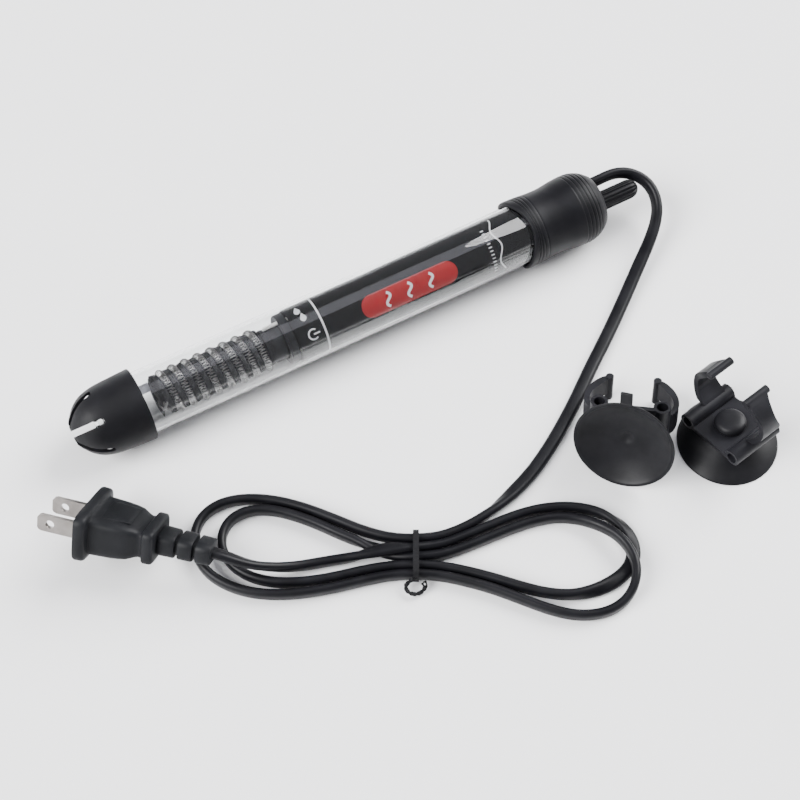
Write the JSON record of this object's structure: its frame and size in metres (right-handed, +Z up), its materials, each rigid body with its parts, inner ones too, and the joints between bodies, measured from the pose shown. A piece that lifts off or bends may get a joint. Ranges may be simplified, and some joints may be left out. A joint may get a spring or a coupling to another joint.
{
  "type": "submersible aquarium heater",
  "caption": "Glass-tube submersible heater with slotted rubber foot, rubber head with setting knob, tied flat cord and plug, and two suction-cup clip holders.",
  "frame": {"origin": "on the table, under the middle of the heater and its two holders (the box of everything but the cord and plug)", "axes": "+X along the heater's axis from the slotted foot to the knob, +Z up from the table it lies on, +Y away from the cord's hank"},
  "size_m": [0.2713, 0.1637, 0.0393],
  "materials": {
    "cap_rubber": "matt",
    "collar_rubber": "matt, soft sheen",
    "seal_rubber": "matt",
    "tube_glass": "clear, polished",
    "lamp_glass": "clear, polished",
    "ceramic": "fired ceramic, matt",
    "mica": "pale mica, satin",
    "spacer_plastic": "pale spacer, satin",
    "resistance_wire": "heat-dulled wire",
    "lead_sleeving": "white silicone sleeving",
    "sleeve_print": "black print seen through glass",
    "bracket_steel": "plated",
    "bimetal": "satin strip",
    "contact_metal": "silver contact",
    "nut_brass": "turned",
    "resistor_body": "lacquered",
    "head_plastic": "moulded",
    "knob_plastic": "moulded, satin",
    "cord_pvc": "soft pvc, satin",
    "tie_plastic": "paper and wire tie",
    "plug_pvc": "moulded pvc, fine texture",
    "blade_metal": "nickel plated brass",
    "cup_pvc": "soft, smooth",
    "clip_pvc": "moulded, satin"
  },
  "bodies": {
    "heater": {"collar": "collar_rubber", "cord_gland": "collar_rubber", "head_seal": "seal_rubber", "knob_seal": "seal_rubber", "glass_tube": "tube_glass", "indicator_lamp": "lamp_glass", "ceramic_former": "ceramic", "former_tongue": "mica", "element_neck": "ceramic", "step_ring": "spacer_plastic", "heating_coil": "resistance_wire", "lead_wire_a": "lead_sleeving", "lead_wire_b": "lead_sleeving", "print_sleeve": "sleeve_print", "thermostat_frame": "bracket_steel", "bimetal_post": "ceramic", "fixed_contact": "contact_metal", "lamp_resistor": "resistor_body", "head_plug": "head_plastic", "cord_run": "cord_pvc", "cord_plug_end": "cord_pvc", "cord_hank": "cord_pvc", "twist_tie": "tie_plastic", "plug_body": "plug_pvc", "strain_relief": "plug_pvc", "blade_a": "blade_metal", "blade_b": "blade_metal", "adjust_nut": "nut_brass"},
    "cap": {"bottom_cap": "cap_rubber"},
    "knob": {"knob": "knob_plastic", "knob_stem": "bracket_steel"},
    "lever": {"setting_lever": "bracket_steel"},
    "strip": {"bimetal_strip": "bimetal", "moving_contact": "contact_metal"},
    "right_cup": {"right_cup": "cup_pvc"},
    "right_clip": {"right_clip": "clip_pvc"},
    "left_cup": {"left_cup": "cup_pvc"},
    "left_clip": {"left_clip": "clip_pvc"}
  },
  "joints": [
    {"name": "cap_pull", "type": "slide", "parent": "heater", "child": "cap", "axis": [-1, 0, 0], "range_m": [0, 0.03]},
    {"name": "knob_turn", "type": "hinge", "parent": "heater", "child": "knob", "pos_m": [0.1101, 0.05549, 0.01338], "axis": [1, 0, 0], "range_deg": [-135, 135]},
    {"name": "lever_set", "type": "hinge", "parent": "heater", "child": "lever", "pos_m": [0.053, 0.05663, 0.01149], "axis": [0, 0.8572, 0.515], "range_deg": [-2.2, 2.2]},
    {"name": "bimetal_bend", "type": "hinge", "parent": "heater", "child": "strip", "pos_m": [0.0001, 0.05606, 0.01535], "axis": [0, -0.8572, -0.515], "range_deg": [0, 3], "stiffness_Nm_per_rad": 0.05},
    {"name": "right_holder_lift", "type": "slide", "parent": "heater", "child": "right_cup", "axis": [0, 0, 1], "range_m": [0, 0.06]},
    {"name": "right_clip_swivel", "type": "hinge", "parent": "right_cup", "child": "right_clip", "pos_m": [0.09198, -0.05145, 0.01161], "axis": [-0.04, 0.174, 0.9839], "continuous": true},
    {"name": "left_holder_lift", "type": "slide", "parent": "heater", "child": "left_cup", "axis": [0, 0, 1], "range_m": [0, 0.06]},
    {"name": "left_clip_swivel", "type": "hinge", "parent": "left_cup", "child": "left_clip", "pos_m": [0.05834, -0.03542, 0.01438], "axis": [0.6042, 0.7572, -0.2481], "range_deg": [-8, 8]}
  ],
  "couplings": [
    {"joint": "lever_set", "follows": "knob_turn", "ratio": 0.014815}
  ]
}
